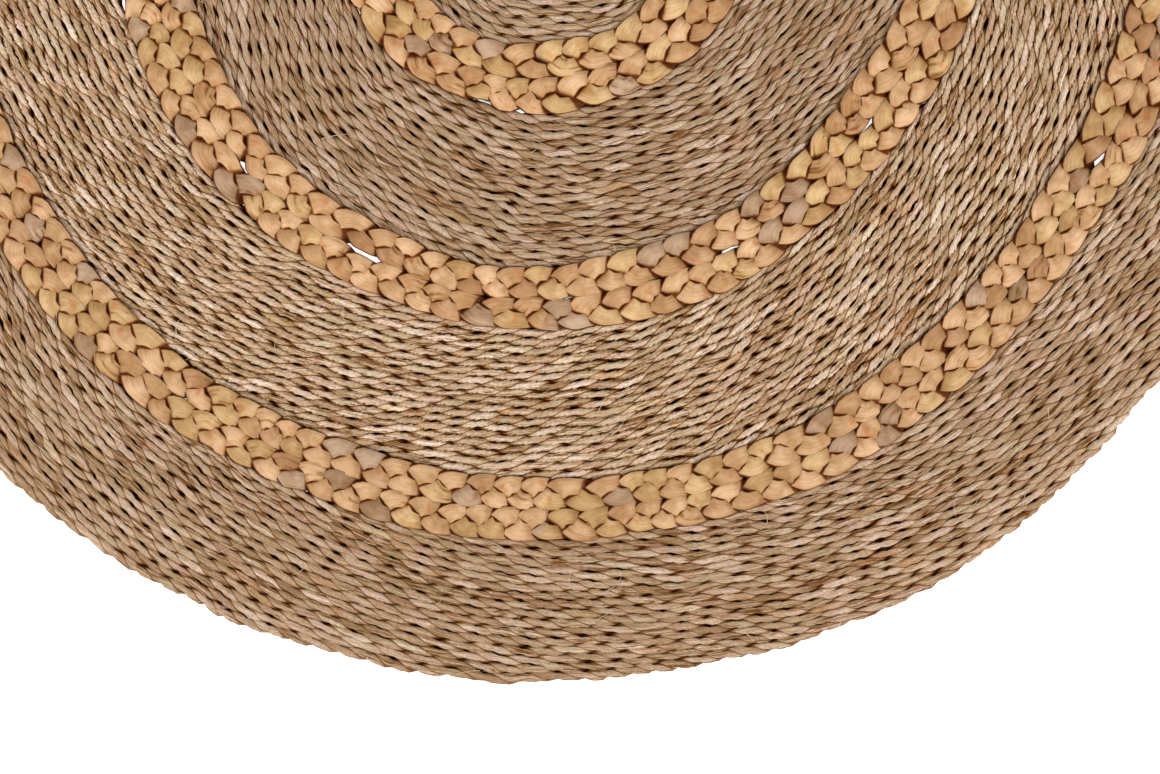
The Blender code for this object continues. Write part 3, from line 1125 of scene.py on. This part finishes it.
def add_piece(name, mesh, material, node):
    """Put a piece in the scene on the root body, and hide the model part that it stands for."""
    mesh.materials.append(material)
    piece = bpy.data.objects.new(name, mesh)
    bpy.context.scene.collection.objects.link(piece)
    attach(piece, "root")
    if node:
        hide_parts(node)
    return piece


class RUG_OT_add_ropes(bpy.types.Operator):
    """Wind the four coils of two-ply seagrass rope"""

    bl_idname = "rug.add_ropes"
    bl_label = "Add Ropes"

    def execute(self, context):
        settings = context.scene.rug_rope
        corners = len(CREASE_ON_TOP)
        low = np.tile(np.arange(corners) / corners, PLIES)
        for number, coil in enumerate(COILS):
            node, inside, outside, rows, twist, pieces, tint = coil
            rng = np.random.default_rng(ROPE_SEED + number)
            rings, along, depth = rope_rings(settings, inside, outside, rows, twist, rng)
            material = seagrass_material(node + "_seagrass", settings, twist, tint)
            cuts = np.linspace(0, len(rings) - 1, pieces + 1).astype(int)
            for piece in range(pieces):
                span = slice(cuts[piece], cuts[piece + 1] + 1)
                strands = StrandMesh(PLIES * corners, ROPE_GIRTH)
                strands.add(
                    rings[span], along[span], low, low + 1.0 / corners, False, (0, corners), depth[span])
                name = node + "_rope" + (f"_{piece + 1}" if pieces > 1 else "")
                add_piece(name, strands.build(name), material, node)
        return {"FINISHED"}


class RUG_OT_add_plaits(bpy.types.Operator):
    """Lay the three double rings of flat three-strand plait"""

    bl_idname = "rug.add_plaits"
    bl_label = "Add Plaits"

    def execute(self, context):
        settings = context.scene.rug_plait
        slits = all_slits(np.random.default_rng(SLIT_SEED))
        low = np.arange(PLAIT_SIDES) / PLAIT_SIDES
        for number, (stem, inside, outside, lightness) in enumerate(PLAIT_RINGS):
            material = hyacinth_material(stem + "_hyacinth", settings, lightness)
            for row, letter in enumerate(PLAIT_ROWS):
                rng = np.random.default_rng(PLAIT_SEED + 10 * number + row)
                strands = StrandMesh(PLAIT_SIDES, STRAND_GIRTH)
                plait = (2 * number + row) * PLAIT_STRANDS * PADS_APART
                for rings, along in plait_rings(settings, stem, inside, outside, row, slits, rng):
                    along = along + plait
                    grains = np.repeat(along[:, None], PLAIT_SIDES, axis=1)
                    strands.add(rings, grains, low, low + 1.0 / PLAIT_SIDES, True)
                node = f"{stem}_{letter}"
                name = node + "_strands"
                add_piece(name, strands.build(name), material, node)
        return {"FINISHED"}


class RUG_OT_add_fibres(bpy.types.Operator):
    """Scatter the loose fibre ends that stand out of the ropes"""

    bl_idname = "rug.add_fibres"
    bl_label = "Add Loose Fibres"

    def execute(self, context):
        settings = context.scene.rug_fibre
        rng = np.random.default_rng(FIBRE_SEED)
        strands = StrandMesh(FIBRE_SIDES, FIBRE_GIRTH)
        low = np.arange(FIBRE_SIDES) / FIBRE_SIDES
        for index in range(settings.count + settings.rim_count):
            is_hair = index >= settings.count
            path, share = fibre_path(settings, rng, is_hair)
            rings = fibre_rings(settings, path, share, is_hair)
            along = np.repeat((index + FIBRE_SPAN * share)[:, None], FIBRE_SIDES, axis=1)
            strands.add(rings, along, low, low + 1.0 / FIBRE_SIDES, False)
        mesh = strands.build("loose_fibres")
        add_piece("loose_fibres", mesh, fibre_material("loose_fibre"), None)
        return {"FINISHED"}


def slit_lines(radius, shine, dark):
    """Three lines of the floor round a seam: glowing under its slits, a painted light, and not glowing to
    each side.
    """
    return [(radius - SLIT_REACH, dark), (radius, shine * SLIT_GLOW), (radius + SLIT_REACH, dark)]


def floor_mesh(reach, slits):
    """Floor as rings round the rug, each with how much it glows: all outside the rim, and under slits."""
    angle = math.tau * np.arange(FLOOR_STEPS) / FLOOR_STEPS
    dark, bright = np.zeros(FLOOR_STEPS), np.ones(FLOOR_STEPS)
    lines = []
    for stem, inside, outside, _ in PLAIT_RINGS:
        near, far = seam_radius(inside, angle), seam_radius(outside, angle)
        for seam, radius in enumerate((near, (near + far) / 2.0, far)):
            shine = smooth_step(slit_width(stem, seam, angle, slits) / GLOW_WIDTH)
            lines += slit_lines(radius, shine, dark)
    for degrees, at_radius, _, long in ROPE_SLITS:
        away = np.abs(turn_from(angle, degrees)) * at_radius
        shine = smooth_step(ROPE_SLIT_FULLNESS - away / (long * ROPE_SLIT_HALF))
        lines += slit_lines(np.full(FLOOR_STEPS, at_radius), shine, dark)
    rim = seam_radius("rim", angle)
    lines += [(rim - RIM_SHADE[0], dark), (rim - RIM_SHADE[1], bright), (rim + reach, bright)]
    lines.sort(key=lambda line: line[0].mean())
    points, glow, faces = [(0.0, 0.0, 0.0)], [0.0], []
    for number, (radius, shine) in enumerate(lines):
        points += place_round(angle, radius, np.zeros(FLOOR_STEPS)).tolist()
        glow += shine.tolist()
        for step in range(FLOOR_STEPS):
            after = (step + 1) % FLOOR_STEPS
            near, far = 1 + (number - 1) * FLOOR_STEPS, 1 + number * FLOOR_STEPS
            if number == 0:
                faces.append((0, far + step, far + after))
            else:
                faces.append((near + step, far + step, far + after, near + after))
    mesh = bpy.data.meshes.new("floor")
    mesh.from_pydata(points, [], faces)
    mesh.attributes.new("glow", "FLOAT", "POINT").data.foreach_set("value", glow)
    return mesh


class RUG_OT_add_stage(bpy.types.Operator):
    """Set the camera over the rug, with a white floor and soft light"""

    bl_idname = "rug.add_stage"
    bl_label = "Add Stage"

    def execute(self, context):
        settings = context.scene.rug_stage
        scene = context.scene
        mesh = floor_mesh(settings.floor_reach, all_slits(np.random.default_rng(SLIT_SEED)))
        material, tree, shader = new_material("white_floor")
        glow = add_node(tree, "ShaderNodeAttribute", attribute_name="glow").outputs["Fac"]
        # Painted shade under the rug, and white with its own painted glow under the slits and round the rug.
        feed(tree, shader, {
            "Base Color": ramp(tree, glow, [(0.0, solid(PAINTED_SHADE_UNDER_RUG)), (0.4, grey(SHEET_WHITE))]),
            "Roughness": SHEET_ROUGHNESS, "Specular IOR Level": 0.0, "Emission Color": grey(1.0),
            "Emission Strength": calculate(tree, "MULTIPLY", glow, settings.floor_glow)})
        mesh.materials.append(material)
        floor = bpy.data.objects.new("floor", mesh)
        scene.collection.objects.link(floor)
        camera_data = bpy.data.cameras.new("camera")
        camera_data.sensor_width = SENSOR_WIDTH_MM
        wide = PHOTO_WIDTH_PX * PHOTO_METRES_PER_PX
        camera_data.lens = camera_data.sensor_width * settings.camera_distance / wide
        camera = bpy.data.objects.new("camera", camera_data)
        camera.location = (*VIEW_CENTRE, settings.camera_distance + CAD_BOX[1][2])
        scene.collection.objects.link(camera)
        scene.camera = camera
        world = bpy.data.worlds.new("sky")
        world.use_nodes = True
        background = world.node_tree.nodes["Background"]
        background.inputs["Color"].default_value = grey(1.0)
        background.inputs["Strength"].default_value = settings.sky_strength
        scene.world = world
        target = Vector((*VIEW_CENTRE, 0.0))
        for name, side in (("key_left", -1.0), ("key_right", 1.0)):
            key_data = bpy.data.lights.new(name, "AREA")
            key_data.size = settings.key_size
            key_data.energy = settings.key_power
            key = bpy.data.objects.new(name, key_data)
            key.location = (side * settings.key_aside, KEY_AHEAD, settings.key_height)
            key.rotation_euler = (target - key.location).to_track_quat("-Z", "Y").to_euler()
            scene.collection.objects.link(key)
        scene.view_settings.view_transform = "Standard"
        return {"FINISHED"}


class VIEW3D_PT_rug(bpy.types.Panel):
    """Buttons and settings of the rug"""

    bl_label = "Rug"
    bl_space_type = "VIEW_3D"
    bl_region_type = "UI"
    bl_category = "Rug"

    def draw(self, context):
        for operator in OPERATORS:
            self.layout.operator(operator.bl_idname)
        for name in SETTINGS:
            group = getattr(context.scene, name)
            box = self.layout.box()
            for key in group.bl_rna.properties.keys():
                if key not in ("rna_type", "name"):
                    box.prop(group, key)


OPERATORS = (RUG_OT_add_stage, RUG_OT_add_ropes, RUG_OT_add_plaits, RUG_OT_add_fibres)
SETTINGS = {
    "rug_rope": RugRopeSettings,
    "rug_plait": RugPlaitSettings,
    "rug_fibre": RugFibreSettings,
    "rug_stage": RugStageSettings,
}


def register():
    """Add the classes and the scene's settings."""
    for group in (*SETTINGS.values(), *OPERATORS, VIEW3D_PT_rug):
        bpy.utils.register_class(group)
    for name, group in SETTINGS.items():
        setattr(bpy.types.Scene, name, PointerProperty(type=group))


def unregister():
    """Take the classes and the scene's settings away."""
    for name in SETTINGS:
        delattr(bpy.types.Scene, name)
    for group in (VIEW3D_PT_rug, *reversed(OPERATORS), *reversed(SETTINGS.values())):
        bpy.utils.unregister_class(group)


def main():
    """Make the rug and its stage."""
    register()
    bpy.ops.rug.add_stage()
    bpy.ops.rug.add_ropes()
    bpy.ops.rug.add_plaits()
    bpy.ops.rug.add_fibres()


if __name__ == "__main__":
    main()
